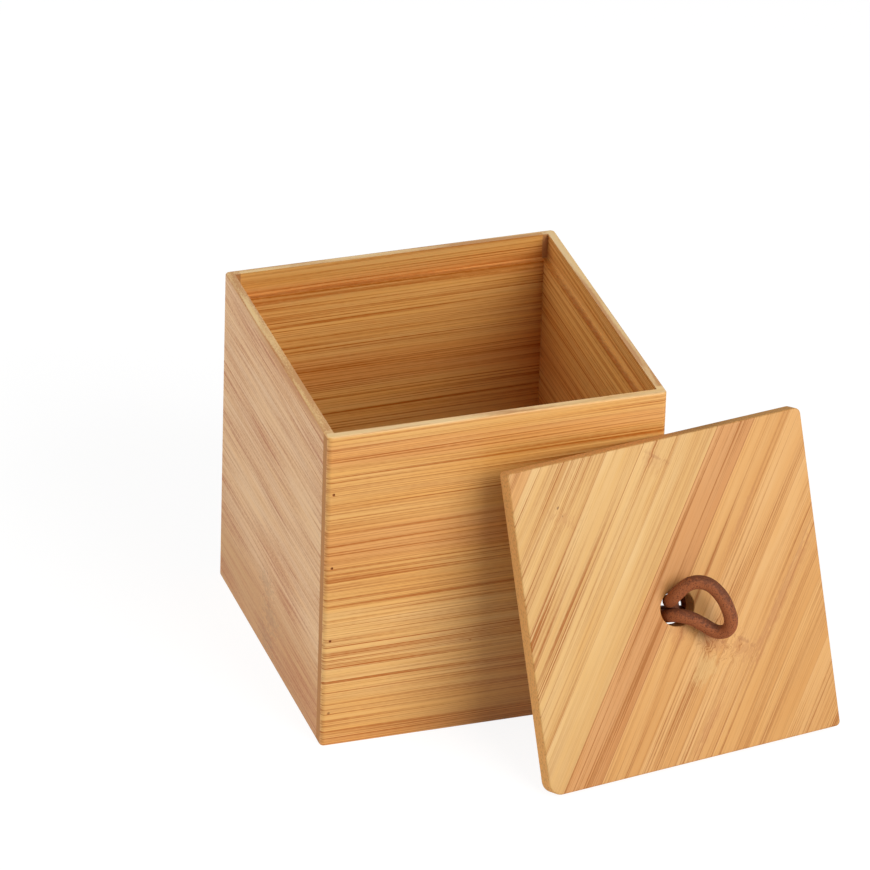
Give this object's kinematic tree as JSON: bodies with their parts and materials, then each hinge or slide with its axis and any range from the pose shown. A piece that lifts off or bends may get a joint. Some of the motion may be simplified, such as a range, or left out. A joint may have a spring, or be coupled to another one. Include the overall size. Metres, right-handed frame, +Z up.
{
  "type": "lidded brush box",
  "caption": "Square open bamboo box with a rebated rim; its loose lid, with a leather cord loop through a round hole, leans on a front corner.",
  "frame": {"origin": "middle of the box's underside, on the surface it stands on", "axes": "+X right along the front board, +Y from the front board to the back board, +Z up"},
  "size_m": [0.1895, 0.1884, 0.131],
  "materials": {
    "bamboo": "laminated bamboo, sanded, satin oil",
    "steel": "dark headless brads",
    "leather": "round leather cord, matt"
  },
  "bodies": {
    "box": {"front_wall": "bamboo", "back_wall": "bamboo", "left_wall": "bamboo", "right_wall": "bamboo", "base_panel": "bamboo", "brads_front_left": "steel", "brads_front_right": "steel"},
    "lid": {"lid_panel": "bamboo"},
    "pull": {"pull_loop": "leather", "loop_knot": "leather"}
  },
  "joints": [
    {"name": "lid_lift", "type": "slide", "parent": "box", "child": "lid", "axis": [0, 0, 1], "range_m": [0, 0.15]},
    {"name": "loop_swivel", "type": "hinge", "parent": "lid", "child": "pull", "pos_m": [0.06123, -0.09117, 0.0556], "axis": [0.1472, -0.9241, 0.3527], "continuous": true}
  ]
}
